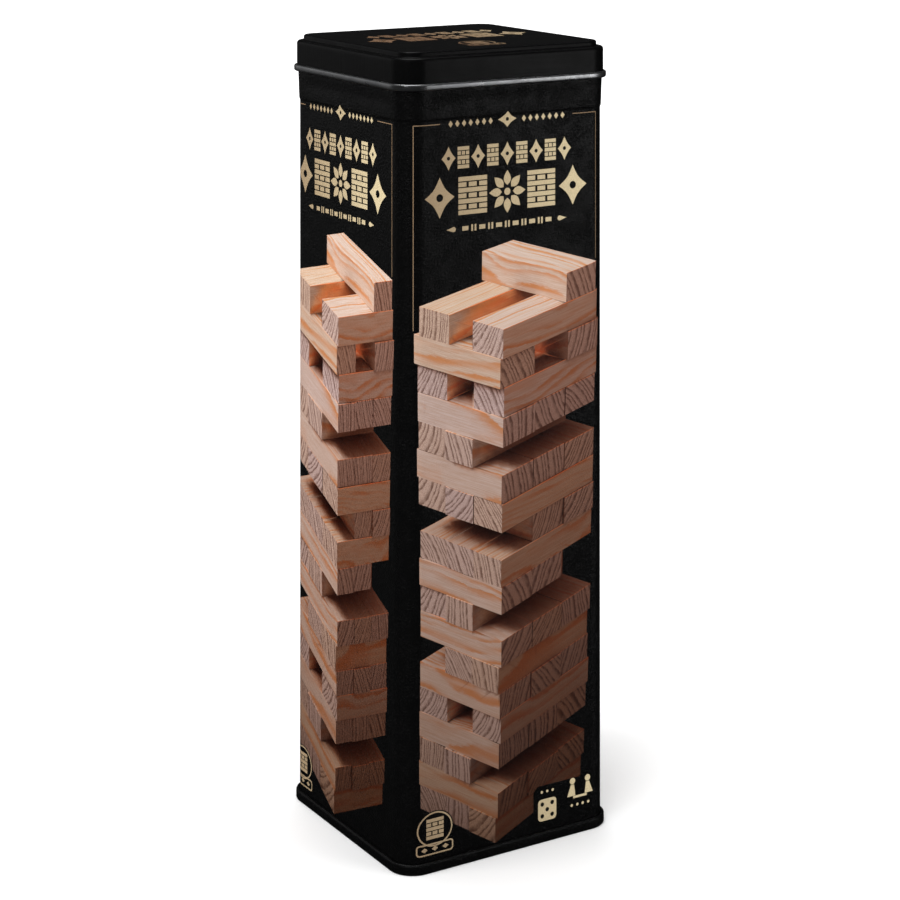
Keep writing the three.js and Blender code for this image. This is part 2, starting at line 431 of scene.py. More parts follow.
def stations(corner_steps, side_steps):
    """Places round the rounded square: a point on the square through the corner centres, and the way out."""
    side = [(-CENTRE + 2 * CENTRE * i / side_steps, 0.0) for i in range(side_steps)]
    corner = [(CENTRE, QUARTER_TURN * i / corner_steps) for i in range(corner_steps)]
    return [
        (quarter_turned(x, -CENTRE, turns), quarter_turned(math.sin(angle), -math.cos(angle), turns))
        for turns in range(4)
        for x, angle in side + corner
    ]


def skin(rings):
    """Faces between neighbouring rings of points; a ring may be one point, many times over."""
    faces = []
    for low, high in zip(rings, rings[1:]):
        for i in range(len(low)):
            j = (i + 1) % len(low)
            faces.append(tuple(dict.fromkeys((low[i], low[j], high[j], high[i]))))
    return faces


def swept(outline, closed, dent=None):
    """Sweeps (half-width, height) points round the tin; an open outline starts and ends at the axis."""
    around = stations(14, 10)
    points, rings = [], []
    for half, height in outline:
        if half < 1e-9:
            rings.append([len(points)] * len(around))
            points.append((0, 0, height))
            continue
        rings.append(range(len(points), len(points) + len(around)))
        shrink = min(half / CENTRE, 1.0)
        for core, normal in around:
            reach = max(half - CENTRE, 0.0)
            if dent:
                reach -= dent(core, height)
            x, y = (a * shrink + b * reach for a, b in zip(core, normal))
            points.append((x, y, height))
    return points, skin(rings + rings[:1] if closed else rings), len(around)


def leave_bare(piece, around, first, last):
    """Leaves the sheet unprinted between two of the outline's points."""
    for polygon in piece.data.polygons[first * around : last * around]:
        polygon.material_index = 1


# === Tin ===


def flare(height):
    """How far the wall stands outside its plain width at a height: a small step, then a slow spread."""
    if height <= FLARE_FOOT:
        return 0.0
    step_top = FLARE_FOOT + 1.0 * MM
    if height <= step_top:
        share = (height - FLARE_FOOT) / (step_top - FLARE_FOOT)
        return STEP_PROUD * share * share * (3 - 2 * share)
    share = min((height - step_top) / (FLARE_TOP - step_top), 1.0)
    return STEP_PROUD + (FLARE - STEP_PROUD) * share


def groove(flat_distance, height):
    """The shallow hollow along each flat under the lid, which fades out before the corners."""
    fade = min(max((CENTRE - abs(flat_distance)) / GROOVE_FADE, 0.0), 1.0)
    across = (height - GROOVE_HEIGHT) / GROOVE_REACH
    return GROOVE_DEPTH * fade * math.exp(-across * across)


def build_wall():
    """The wall's own sheet: straight from the seam, flared to the mouth, with a hem folded in at the top."""
    outer = HALF - PRINT - SHEET / 2
    hem_radius, hem_depth = 0.2 * MM, 3.5 * MM
    rim = wall_high.z - SHEET / 2 - hem_radius
    heights = list(np.linspace(wall_low.z, FLARE_FOOT, 8)) + FLARE_HEIGHTS[1:]
    path = [(outer + flare(z), z) for z in heights]
    mouth = outer + FLARE
    path += line((mouth, FLARE_TOP + 1 * MM), (mouth, rim), 4)
    path += arc(mouth - hem_radius, rim, hem_radius, 0, 180, 6)
    path += [(mouth - 2 * hem_radius, rim - hem_depth * share) for share in (0.5, 1.0)]
    right, left = sheet_sides(path, SHEET)
    outline = right + left[::-1]

    def dent(core, height):
        flat = core[0] if abs(abs(core[1]) - CENTRE) < 1e-9 else core[1]
        return groove(flat, height) if height < FLARE_TOP + 4 * MM else 0.0

    points, faces, around = swept(outline, True, dent=dent)
    piece = new_piece("tin_wall", points, faces, [black_print, bare_tin], "tin", ("tin_body",))
    fold = len(right) - 6  # from inside the hem's fold on, the outline is the sheet's bare back
    leave_bare(piece, around, fold, len(outline))


def build_bottom():
    """The bottom panel with its chuck wall and the seam folded round the foot of the wall."""
    seam_out = base_high.x
    chuck_out, chuck_in = HALF - SHEET - 0.1 * MM, HALF - SHEET - 0.5 * MM
    seam_in = HALF + 0.1 * MM
    top, floor, turn = 2.5 * MM, 0.4 * MM, 0.55 * MM
    path = [(0, top - SHEET), (CENTRE * 0.6, top - SHEET), (CENTRE, top - SHEET)]
    path += arc(chuck_in - 0.25 * MM, top - SHEET - 0.25 * MM, 0.25 * MM, 90, 0, 5)
    path += arc(chuck_in + 0.35 * MM, 0.35 * MM, 0.35 * MM, 180, 270, 5)
    path += arc(seam_out - turn, turn, turn, 270, 360, 6)
    path += arc(seam_out - 0.75 * MM, SEAM_TOP - 0.75 * MM, 0.75 * MM, 0, 80, 7)
    path += [(seam_in, SEAM_TOP - 0.15 * MM), (seam_in, floor), (chuck_out, floor)]
    path += arc(chuck_out - 0.4 * MM, top - 0.4 * MM, 0.4 * MM, 0, 90, 5)
    path += [(CENTRE, top), (CENTRE * 0.6, top), (0, top)]
    points, faces, _ = swept(without_repeats(path), False)
    new_piece("tin_bottom", points, faces, [black_print], "tin", ("tin_base",))


def build_lid():
    """The slip lid, drawn from one sheet: raised panel, shoulder, skirt and an edge rolled outwards."""
    skirt = HALF + LID_PROUD - SHEET / 2
    panel = lid_high.z - PRINT - SHEET / 2
    edge = HALF + LID_PROUD - 2.4 * MM - SHEET / 2
    shoulder = panel - 1.9 * MM
    curl_out = lid_high.x - SHEET / 2
    curl = (curl_out - skirt) / 2
    curl_low = lid_low.z + SHEET / 2 + curl
    curl_high = lid_low.z + 2.3 * MM - SHEET / 2 - curl
    rounding, corner = 0.55 * MM, 0.9 * MM
    path = [(0, panel), (CENTRE * 0.55, panel), (CENTRE, panel)]
    path += arc(edge - rounding, panel - rounding, rounding, 90, 0, 6)
    path += arc(edge + rounding, shoulder + rounding, rounding, 180, 270, 6)
    path += arc(skirt - corner, shoulder - corner, corner, 90, 0, 8)
    path += line((skirt, shoulder - 2 * corner), (skirt, curl_low), 6)
    path += arc(skirt + curl, curl_low, curl, 180, 360, 12)
    path += arc(skirt + curl, curl_high, curl, 0, 105, 7)
    right, left = sheet_sides(path, SHEET)
    points, faces, around = swept(right + left[::-1], False)
    piece = new_piece("lid_shell", points, faces, [lid_print, bare_tin], "lid", ("tin_lid",))
    leave_bare(piece, around, 0, len(right))  # the first half of the outline is the sheet's back


def build_side_seam():
    """The lock seam that closes the wall's sheet, folded flat inside the back wall beside a corner."""
    width, proud, ease = 4.5 * MM, 0.55 * MM, 0.2 * MM
    foot, top = HALF - PRINT - SHEET - 0.02 * MM, HALF - PRINT - SHEET - proud
    low, high = 3 * MM, FLARE_FOOT - 2 * MM
    centre = CENTRE - 6 * MM
    outline = [(-width / 2, foot), (ease - width / 2, top), (width / 2 - ease, top), (width / 2, foot)]
    rows = 12
    points = [(centre + x, y, low + (high - low) * i / rows) for i in range(rows + 1) for x, y in outline]
    rings = [range(4 * i, 4 * i + 4) for i in range(rows + 1)]
    faces = skin(rings[::-1]) + [tuple(rings[0]), tuple(reversed(rings[-1]))]
    piece = new_piece("side_seam", points, faces, [bare_tin], "tin")
    piece.data.shade_flat()


build_wall()
build_bottom()
build_lid()
build_side_seam()


# === The picture on each wall: a half-played tower, seen from above its nearest corner (in millimetres) ===

LONG, WIDE, THICK = 75.0, 25.0, 14.82
GAP = 0.24  # between neighbours in a tier
LOOSE = (1.2, 0.2, 0.25)  # how far any block may be off its place: along, across, and turned in degrees
SPREAD = 1.1  # the two blocks beside a gap look this much wider
PICTURE_TIERS = 20
PICTURE_TOP = PICTURE_TIERS * THICK
TAKEN_OUT = {
    1: (0, 1), 2: (1,), 3: (1,), 4: (1,), 6: (0,), 9: (0,), 11: (2,), 12: (0,), 14: (2,), 16: (1,), 18: (0,),
}  # tiers from the top, and places from the nearest
NUDGED = {
    (1, 2): (-0.5, -1.0, 0.2), (2, 0): (0.6, 1.6, 0), (2, 2): (0.3, -2.6, 0), (3, 0): (-1.9, 0, 0),
    (4, 0): (-1.6, 2.1, 0), (4, 2): (-1.8, 1.0, 0), (19, 0): (-2.0, 0, 0), (20, 0): (0, 1.8, 0),
    (20, 1): (-0.6, 1.6, 0),
}  # how far a block has been pushed along and across its tier, and its turn in degrees

VIEW_TURN, VIEW_TILT, VIEW_ROLL = math.radians(-48.13), math.radians(24.97), math.radians(-1.01)
VIEW_AWAY, VIEW_HEIGHT, VIEW_ASIDE = 924.4, 568.4, 5.0
VIEW_FOCUS, VIEW_RISE = 684.2, 82.6


def view_frame():
    """The rotation and shift that take the tower's places to the viewer's right, away and up."""
    turn_cos, turn_sin = math.cos(VIEW_TURN), math.sin(VIEW_TURN)
    tilt_cos, tilt_sin = math.cos(VIEW_TILT), math.sin(VIEW_TILT)
    rotation = [
        (turn_cos, -turn_sin, 0),
        (turn_sin * tilt_cos, turn_cos * tilt_cos, -tilt_sin),
        (turn_sin * tilt_sin, turn_cos * tilt_sin, tilt_cos),
    ]
    away = VIEW_AWAY * tilt_cos + VIEW_HEIGHT * tilt_sin
    up = VIEW_AWAY * tilt_sin - VIEW_HEIGHT * tilt_cos
    return np.array(rotation), np.array((-VIEW_ASIDE, away, up))


VIEW_ROTATION, VIEW_SHIFT = view_frame()
EYE = -VIEW_ROTATION.T @ VIEW_SHIFT
ROLL_COS, ROLL_SIN = math.cos(VIEW_ROLL), math.sin(VIEW_ROLL)


def pictured(point):
    """Where a place on the tower falls on the wall."""
    right, away, up = VIEW_ROTATION @ np.array(point) + VIEW_SHIFT
    a, b = VIEW_FOCUS * right / away, VIEW_FOCUS * up / away
    return a * ROLL_COS - b * ROLL_SIN, VIEW_RISE + a * ROLL_SIN + b * ROLL_COS


def sight_line(u, z):
    """The direction from the viewer's eye towards a place on the wall."""
    rise = z - VIEW_RISE
    a, b = u * ROLL_COS + rise * ROLL_SIN, rise * ROLL_COS - u * ROLL_SIN
    return VIEW_ROTATION.T @ np.array([a / VIEW_FOCUS, 1, b / VIEW_FOCUS])


class Block:
    """A pictured block. A face's number is 2 * axis + (1 if high); the axes run along, across and up."""

    def __init__(self, middle, turn, seed, wide):
        cos, sin = math.cos(turn), math.sin(turn)
        self.middle = np.array(middle)
        self.half = np.array((LONG, wide, THICK)) / 2
        self.ways = np.array(((cos, sin, 0), (-sin, cos, 0), (0, 0, 1)))
        self.seed = seed

    def inward(self, place):
        return self.ways @ (place - self.middle)

    def outward(self, inner):
        return self.middle + inner @ self.ways

    def normal(self, face):
        return self.ways[face // 2] * (face % 2 * 2 - 1)

    def corners(self, face):
        first, second = [axis for axis in range(3) if axis != face // 2]
        found = []
        for a, b in ((-1, -1), (1, -1), (1, 1), (-1, 1)):
            inner = self.half * (face % 2 * 2 - 1)
            inner[first], inner[second] = a * self.half[first], b * self.half[second]
            found.append(self.outward(inner))
        return found


def tower_blocks():
    """The tower's blocks: odd tiers run away to the left of the nearest corner, even tiers to its right."""
    chance = random.Random(48)
    blocks = []
    for tier in range(1, PICTURE_TIERS + 1):
        height = (PICTURE_TIERS - tier + 0.5) * THICK
        for place in range(3):
            seed = [chance.random() for _ in range(3)]
            slip, drift, turn = (chance.uniform(-most, most) for most in LOOSE)
            if place in TAKEN_OUT.get(tier, ()):
                continue
            push, aside, twist = NUDGED.get((tier, place), (0, 0, 0))
            length, across = slip - LONG / 2 + push, (place + 0.5) * WIDE + drift + aside
            angle = math.radians(turn + twist)
            wide = WIDE - GAP if TAKEN_OUT.get(tier) != (1,) else WIDE + SPREAD
            if tier % 2:
                blocks.append(Block((length, across, height), angle, seed, wide))
            else:
                blocks.append(Block((-across, -length, height), angle - QUARTER_TURN, seed, wide))
    return blocks


BLOCKS = tower_blocks()


def tower_tree():
    """A search tree of all the blocks' faces; a face's number is 6 * block + face."""
    points, faces = [], []
    for block in BLOCKS:
        for face in range(6):
            faces.append(tuple(range(len(points), len(points) + 4)))
            points += block.corners(face)
    return BVHTree.FromPolygons(points, faces)


TREE = tower_tree()


def is_seen(index, face):
    """Whether the viewer can see some of a block's face, tried at places all over it."""
    corners = BLOCKS[index].corners(face)
    if BLOCKS[index].normal(face) @ (EYE - corners[0]) <= 0:
        return False
    for a in np.linspace(0.02, 0.98, 13):
        for b in np.linspace(0.04, 0.96, 6):
            place = corners[0] + a * (corners[1] - corners[0]) + b * (corners[3] - corners[0])
            if TREE.ray_cast(Vector(EYE), Vector(place - EYE))[2] == 6 * index + face:
                return True
    return False


# Light in the picture: a key lamp high on the viewer's left, a broad lamp on the right, and a dim surround
KEY = Vector((-0.42, -0.55, 0.72)).normalized()
FILL = Vector((0.90, -0.30, 0.35)).normalized()
KEY_STRENGTH, SKY_STRENGTH = 0.60, 0.85
OPEN_BOUNCE, DEEP_BOUNCE = 0.7, 3.4
GAP_START, GAP_REACH = 0.48, 0.35  # a place is deep from this closed share on, and fully so this much later
FULL_LIGHT = 0.75  # under less light than this the wood looks redder
UNLIT_WOOD = 0.012  # what any wood sends on besides the key lamp's light
CLEAR = 0.25  # how far off a face its rays start
HEMISPHERE_RAYS, KEY_RAYS = 72, 12
GOLDEN_ANGLE = math.pi * (3 - math.sqrt(5))


def spread(count, reach):
    """Even places in a disc of a radius, in sunflower order."""
    radii = [reach * math.sqrt((i + 0.5) / count) for i in range(count)]
    return [(r * math.cos(i * GOLDEN_ANGLE), r * math.sin(i * GOLDEN_ANGLE)) for i, r in enumerate(radii)]


DOME = [(a, b, math.sqrt(1 - a * a - b * b)) for a, b in spread(HEMISPHERE_RAYS, 0.999)]
KEY_DIRECTIONS = [(KEY + Vector((a, b, -a))).normalized() for a, b in spread(KEY_RAYS, 0.16)]


def dome_over(normal):
    """Even directions over a face."""
    level = Vector((1, 0, 0)) if normal.z > 0.7 else Vector((-normal.y, normal.x, 0)).normalized()
    other = normal.cross(level)
    return [level * a + other * b + normal * c for a, b, c in DOME]


DOMES = {}  # each face's normal and the directions over it


def sky(direction):
    """Light that arrives from a direction when nothing is in the way."""
    return 0.06 + 0.5 * max(direction.dot(KEY), 0) ** 2 + 0.72 * max(direction.dot(FILL), 0) ** 3


def light_on(place, number):
    """The light that falls on a place on a face, as a colour."""
    if number not in DOMES:
        normal = Vector(BLOCKS[number // 6].normal(number % 6))
        DOMES[number] = normal, dome_over(normal)
    normal, dome = DOMES[number]
    start = Vector(place) + normal * CLEAR
    facing = max(normal.dot(KEY), 0)
    if facing:
        facing *= sum(TREE.ray_cast(start, way)[0] is None for way in KEY_DIRECTIONS) / KEY_RAYS
    open_sky, bounced, closed = 0.0, 0.0, 0
    for way in dome:
        spot, spot_normal, _, _ = TREE.ray_cast(start, way)
        if spot is None:
            open_sky += sky(way)
            continue
        closed += 1
        lit = abs(spot_normal.dot(KEY)) if spot_normal.dot(way) * spot_normal.dot(KEY) < 0 else 0
        if lit and TREE.ray_cast(spot - way * CLEAR, KEY)[0] is None:
            bounced += lit
        bounced += UNLIT_WOOD
    foot, bend = (0.21, 1.15) if normal.x > 0.7 else (0.26, 0.75)  # the light fades towards the tower's foot
    falloff = foot + (1 - foot) * min(max(place[2] / PICTURE_TOP, 0), 1) ** bend
    closed /= HEMISPHERE_RAYS  # the share of the view that other blocks fill
    open_sky *= (1 - closed) ** 0.5
    facing *= min(2.4 * (1 - closed), 1)
    plain = KEY_STRENGTH * facing + SKY_STRENGTH * open_sky / HEMISPHERE_RAYS
    shade = min(plain / FULL_LIGHT, 1.1)
    colour = plain * falloff * np.array((1, shade**0.46 * falloff**0.2, shade**0.75 * falloff**0.38))
    depth = min(max((closed - GAP_START) / GAP_REACH, 0), 1)
    warm = np.array((1, 0.28**depth, 0.08**depth))  # in a deep place the light has come off wood many times
    bounced *= (OPEN_BOUNCE + DEEP_BOUNCE * depth) * min(2.2 * (1 - closed), 1) / HEMISPHERE_RAYS
    return colour + warm * (bounced * falloff)


# === Ornaments: outlines in millimetres, each a list of contours; a contour inside another makes a hole ===


def oval(x, z, wide, high, steps=20):
    turns = [2 * math.pi * i / steps for i in range(steps)]
    return [(x + wide / 2 * math.cos(t), z + high / 2 * math.sin(t)) for t in turns]


def dot(x, z, size, steps=12):
    return oval(x, z, size, size, steps)


def lozenge(x, z, wide, high, pinch=0.0):
    """A lozenge whose sides bow inwards by pinch, as a share of its size."""
    tips = [(wide / 2, 0), (0, high / 2), (-wide / 2, 0), (0, -high / 2)]
    contour = []
    for (ax, az), (bx, bz) in zip(tips, tips[1:] + tips[:1]):
        for i in range(5 if pinch else 1):
            t = i / 5
            inward = 1 - 4 * pinch * t * (1 - t)
            contour.append((x + (ax + (bx - ax) * t) * inward, z + (az + (bz - az) * t) * inward))
    return contour


def plate(x, z, wide, high, radius=0.0):
    """A rectangle with rounded corners."""
    if not radius:
        return [(x + a * wide / 2, z + b * high / 2) for a, b in ((-1, -1), (1, -1), (1, 1), (-1, 1))]
    contour = []
    for turn, (a, b) in enumerate(((1, 1), (-1, 1), (-1, -1), (1, -1))):
        middle = (x + a * (wide / 2 - radius), z + b * (high / 2 - radius))
        contour += arc(*middle, radius, 90 * turn, 90 * turn + 90, 5)
    return contour


def drop(x, z, wide, high, way):
    """A drop that points to the left (way -1) or to the right (way 1)."""
    turns = [math.radians(t) for t in range(60, 301, 20)]
    bowl = [(high / 2 * math.cos(t) - wide / 2 + high / 2, high / 2 * math.sin(t)) for t in turns]
    return [(x + way * a, z + b) for a, b in bowl + [(wide / 2, 0)]]


def petal(x, z, turn, start, end, wide):
    """A petal that points away from (x, z), between two distances from it."""
    cos, sin = math.cos(turn), math.sin(turn)
    shares = [i / 6 for i in range(7)]
    upper = [(start + (end - start) * t, wide / 2 * math.sin(math.pi * t**0.8)) for t in shares]
    lower = [(a, -b) for a, b in reversed(upper[1:-1])]
    return [(x + a * cos - b * sin, z + a * sin + b * cos) for a, b in upper + lower]


def stack(x, z, wide, high, tiers):
    """A small tower seen from the front: long sides and three ends by turns."""
    shapes = []
    pitch = high / tiers
    for tier in range(tiers):
        places, share = ((-0.36, 0, 0.36), 0.28) if tier % 2 else ((0,), 1)
        level = z - high / 2 + pitch * (tier + 0.5)
        shapes += [[plate(x + place * wide, level, wide * share, pitch * 0.8)] for place in places]
    return shapes


def rosette(x, z, size):
    """Eight petals round a dot."""
    shapes = [[petal(x, z, math.pi / 4 * i, size * 0.15, size * 0.5, size * 0.2)] for i in range(8)]
    return shapes + [[dot(x, z, size * 0.17, 14)]]


def pawn(x, z, high, lean):
    """A pawn: a round head on a body that widens to its foot."""
    head = dot(x + lean, z + high * 0.82, high * 0.36, 16)
    neck, shoulder, foot = high * 0.11, high * 0.62, high * 0.27
    body = [(lean - neck, shoulder), (-foot, 0), (foot, 0), (lean + neck, shoulder)]
    return [[head], [[(x + a, z + b) for a, b in body]]]


ART_MIDDLE, ART_TOP = -0.8, 246.5
TITLE_HEIGHT, RULE_HEIGHT = 227.3, 211.2
KEYLINE = 0.27
BADGE = (-29.0, 12.6)
DIE = (15.2, 10.4)
BOARD_X, BOARD_HEIGHT = 28.6, 12.1


def title(x, z):
    """Two rows of ornaments in the place of a title, with (x, z) at their middle."""
    shapes = []
    upper, lower = z + 7.6, z - 5.2
    for i in range(-4, 5):
        at = x + i * 5.75
        star = [lozenge(at, upper, 5.4, 8.0, 0.12), dot(at, upper, 1.3)]
        shapes += stack(at, upper, 4.5, 7.6, 5) if i % 2 else [star]
    for way in (-1, 1):
        at = x + way * 26.4
        shapes.append([lozenge(at, lower, 11.4, 13.6, 0.19), dot(at, lower, 2.6, 20)])
        shapes += stack(x + way * 13.6, lower, 11.2, 13.0, 7)
    return shapes + rosette(x, lower, 14.4)


def keylines():
    """The thin lines that frame the ornaments: a level piece and a long upright one on each side."""
    side, level_start = 36.1, 26.4
    shapes = []
    for way, foot in ((-1, 179.0), (1, 196.0)):
        shapes.append([plate(ART_MIDDLE + way * side, (ART_TOP + foot) / 2, KEYLINE, ART_TOP - foot)])
        level = (side + level_start) / 2
        shapes.append([plate(ART_MIDDLE + way * level, ART_TOP, side - level_start + KEYLINE, KEYLINE)])
    return shapes


def rule():
    """The row of bars under the title, with a drop at each end."""
    shapes = [[drop(ART_MIDDLE + way * 22.0, RULE_HEIGHT, 3.6, 1.7, way)] for way in (-1, 1)]
    for i in range(-5, 6):
        at = ART_MIDDLE + i * 3.3
        bars = [(0, 2.4, 1.5)] if i % 2 else [(-0.65, 0.7, 2.2), (0.65, 0.7, 2.2)]
        shapes += [[plate(at + shift, RULE_HEIGHT, wide, high)] for shift, wide, high in bars]
    return shapes


def crest():
    """The large lozenge between two rows of small ones, over the title."""
    shapes = [[lozenge(ART_MIDDLE, ART_TOP, 7.4, 5.4, 0.16), dot(ART_MIDDLE, ART_TOP, 1.3)]]
    for way in (-1, 1):
        shapes += [[lozenge(ART_MIDDLE + way * (6.6 + 2.6 * i), ART_TOP - 0.2, 1.7, 2.3)] for i in range(7)]
    return shapes


def badge(x, z):
    """A ring round a small stack of blocks, on a plinth."""
    ring = [oval(x, z + 1.2, 13.4, 11.4, 32), oval(x, z + 1.2, 12.4, 10.4, 32)]
    plinth = [plate(x, z - 5.2, 14.0, 3.8, 1.1), plate(x, z - 5.2, 13.0, 2.8, 0.7)]
    studs = [[lozenge(x + shift, z - 5.2, 2.4, 1.6)] for shift in (-4.0, 0, 4.0)]
    return [ring, plinth] + studs + stack(x, z + 1.4, 6.6, 7.0, 5)


def die_and_pawns():
    """A die, and two pawns on a board, in the place of notes on age and players."""
    x, z = DIE
    die = [plate(x, z, 7.4, 7.4, 1.3)]
    die += [dot(x + a, z + b, 1.5) for a, b in ((-2, -2), (2, -2), (0, 0), (-2, 2), (2, 2))]
    shapes = [die, [plate(BOARD_X, BOARD_HEIGHT, 5.6, 0.8)]]
    shapes += [[dot(x + a, z + 6.2, 1.0)] for a in (-2.2, 0, 2.2)]
    shapes += [[dot(BOARD_X + a, BOARD_HEIGHT - 2.7, 1.0)] for a in (-3.4, -1.1, 1.1, 3.4)]
    for way in (-1, 1):
        shapes += pawn(BOARD_X + 3.6 * way, BOARD_HEIGHT + 0.5, 6.2, -0.5 * way)
    return shapes


def wall_gold(with_notes):
    """Every gold ornament on a wall."""
    shapes = crest() + title(ART_MIDDLE, TITLE_HEIGHT) + rule() + badge(*BADGE)
    return shapes + die_and_pawns() if with_notes else shapes


def black_patches(with_notes):
    """Black grounds under the badge and the die, which cover the foot of the tower."""
    x, z = BADGE
    patches = [[oval(x, z + 1.2, 14.2, 12.2, 32)], [plate(x, z - 5.2, 14.8, 4.6, 1.2)]]
    return patches + [[plate(23.8, 7.6, 28.4, 22.4, 2.6)]] if with_notes else patches


def inside(points, contours):
    """Whether each point is inside the contours, by counting the edges to its right."""
    hit = np.zeros(len(points), bool)
    for contour in contours:
        for (ax, az), (bx, bz) in zip(contour, contour[1:] + contour[:1]):
            if az == bz:
                continue
            crosses = (az > points[:, 1]) != (bz > points[:, 1])
            at = ax + (points[:, 1] - az) * (bx - ax) / (bz - az)
            hit ^= crosses & (points[:, 0] < at)
    return hit


def inside_any(points, shapes):
    return np.any([inside(points, contours) for contours in shapes], axis=0)


# === Wall panels ===

CORNER_MIDDLE = QUARTER / 2 / MM
CORNER_START = CENTRE / MM
PANEL_FOOT, PANEL_HEAD = SEAM_TOP / MM - 0.2, wall_high.z / MM - 0.6
TOWER_HEAD = 208.0
BLACK, PICTURE, GOLD = 0, 1, 2
PRINT_SLIP = 3.4  # the sheet was bent this far out of register on the left and back walls
CORNER_STEP, PICTURE_STEP, PLAIN_STEP, MOUTH_STEP = 0.7, 1.3, 3.0, 2.0  # between a panel's own lines
TOP_RIM, RIGHT_RIM, LEFT_RIM = 0.15, 0.9, 0.06  # how strongly the upper edges of a block's faces shine
EDGE_MARGIN = 0.5  # no light is worked out nearer than this to an edge
GOLD_SHEEN_MIDDLE, GOLD_SHEEN_REACH = 0.62, 90  # painted sheen on the gold: how pale it is on the middle line, and how far brown is from cream
KEYLINE_FADE = 0.12


# One wall's part of the print: its quarter turns from the wall that faces -Y, its reach from that wall's
# middle line, how far it is out of register, and whether it has the die and the pawns
Panel = namedtuple("Panel", "name turns low high slip with_notes")
PANELS = [
    Panel("front", 0, -CORNER_MIDDLE - PRINT_SLIP, CORNER_MIDDLE, 0.0, True),
    Panel("right", 1, -CORNER_MIDDLE, CORNER_MIDDLE, 0.0, False),
    Panel("back", 2, -CORNER_MIDDLE, CORNER_MIDDLE - PRINT_SLIP, -PRINT_SLIP, True),
    Panel("left", 3, -CORNER_MIDDLE - PRINT_SLIP, CORNER_MIDDLE - PRINT_SLIP, -PRINT_SLIP, False),
]


def evenly(low, high, step):
    return list(np.linspace(low, high, max(round((high - low) / step), 1) + 1))


def triangulate(points, edges):
    """Splits a field of points into triangles that keep all the edges."""
    found = delaunay_2d_cdt([Vector(p) for p in points], edges, [], 0, 1e-5, False)
    return np.array([tuple(v) for v in found[0]]), np.array([tuple(f) for f in found[2]])


def contour_edges(points, edges, contours):
    """Adds closed contours to a list of points and edges."""
    for contour in contours:
        first = len(points)
        points += contour
        count = len(contour)
        edges += [(first + i, first + (i + 1) % count) for i in range(count)]


def panel_field(panel, shapes):
    """The panel's places in the picture and its triangles, with every outline of the print kept as edges.

    Where the wall is bent, in the corners and in the flare, the field's own lines are kept as edges too, so
    that no triangle cuts across the bend.
    """
    columns = evenly(panel.low, -CORNER_START, CORNER_STEP)[:-1]
    columns += evenly(-CORNER_START, CORNER_START, PICTURE_STEP)
    columns += evenly(CORNER_START, panel.high, CORNER_STEP)[1:]
    foot = FLARE_HEIGHTS[0] / MM
    rows = evenly(PANEL_FOOT, TOWER_HEAD, PICTURE_STEP)[:-1] + evenly(TOWER_HEAD, foot, PLAIN_STEP)[:-1]
    rows += [height / MM for height in FLARE_HEIGHTS]
    rows += evenly(rows[-1], PANEL_HEAD, MOUTH_STEP)[1:]
    points = [(float(u - panel.slip), float(z)) for z in rows for u in columns]
    wide, tall = len(columns), len(rows)
    bent_columns = [i for i, u in enumerate(columns) if abs(u) > CORNER_START - 0.01]
    bent_rows = [j for j, z in enumerate(rows) if j == 0 or z > foot - 0.01]
    edges = [(j * wide + i, (j + 1) * wide + i) for i in bent_columns for j in range(tall - 1)]
    edges += [(j * wide + i, j * wide + i + 1) for j in bent_rows for i in range(wide - 1)]
    for contours in shapes:
        contour_edges(points, edges, contours)
    places, triangles = triangulate(points, edges)
    low, high = (panel.low - panel.slip, PANEL_FOOT), (panel.high - panel.slip, PANEL_HEAD)
    middles = places[triangles].mean(axis=1)
    triangles = triangles[np.all((middles > low) & (middles < high), axis=1)]
    used = np.unique(triangles)
    renumbered = np.zeros(len(places), int)
    renumbered[used] = range(len(used))
    return places[used], renumbered[triangles]


def corner_values(u, z, number):
    """What the picture's material needs at a place: light, place in the grain, and how near an edge is."""
    block, face = BLOCKS[number // 6], number % 6
    eye, way = block.inward(EYE), block.ways @ sight_line(u, z)
    axis = face // 2
    level = block.half[axis] * (face % 2 * 2 - 1)
    inner = np.clip(eye + way * ((level - eye[axis]) / way[axis]), -block.half, block.half)
    sampled = np.clip(inner, EDGE_MARGIN - block.half, block.half - EDGE_MARGIN)
    sampled[axis] = level
    if axis == 2:
        rim = (min((block.half - abs(inner))[:2]), TOP_RIM, 0)
    else:
        rim = (block.half[2] - inner[2], RIGHT_RIM if block.normal(face)[0] > 0.7 else LEFT_RIM, 0)
    return light_on(block.outward(sampled), number), inner, rim


KNOWN_CORNERS = {}  # what corner_values has found, since the walls show the same picture


def panel_print(panel):
    """One wall's print: places, triangles, their materials and the values at their corners."""
    lines, gold, patches = keylines(), wall_gold(panel.with_notes), black_patches(panel.with_notes)
    places, triangles = panel_field(panel, lines + gold + patches + OUTLINES)
    middles = places[triangles].mean(axis=1)
    is_line, is_gold, is_patch = (inside_any(middles, shapes) for shapes in (lines, gold, patches))
    is_gold |= is_line
    paint = np.where(is_gold, GOLD, BLACK)
    values = {name: np.zeros((len(triangles), 3, 3)) for name in ("light", "grain", "rim", "seed")}
    values["end"] = np.zeros((len(triangles), 3))
    # painted sheen: the gold is graded from brown on the left to cream on the right; the keylines keep one
    # brown
    values["fade"] = np.clip(GOLD_SHEEN_MIDDLE + places[triangles][:, :, 0] / GOLD_SHEEN_REACH, 0, 1)
    values["fade"][is_line] = KEYLINE_FADE
    for index in np.flatnonzero(~is_gold & ~is_patch & (middles[:, 1] < TOWER_HEAD)):
        number = TREE.ray_cast(Vector(EYE), Vector(sight_line(*middles[index])))[2]
        if number is None:
            continue
        paint[index] = PICTURE
        values["seed"][index] = BLOCKS[number // 6].seed
        values["end"][index] = number % 6 < 2
        for corner in range(3):
            place = places[triangles[index, corner]]
            key = (*np.round(place, 3), number)
            if key not in KNOWN_CORNERS:
                KNOWN_CORNERS[key] = corner_values(*place, number)
            for name, value in zip(("light", "grain", "rim"), KNOWN_CORNERS[key]):
                values[name][index, corner] = value
    return places, triangles, paint, values


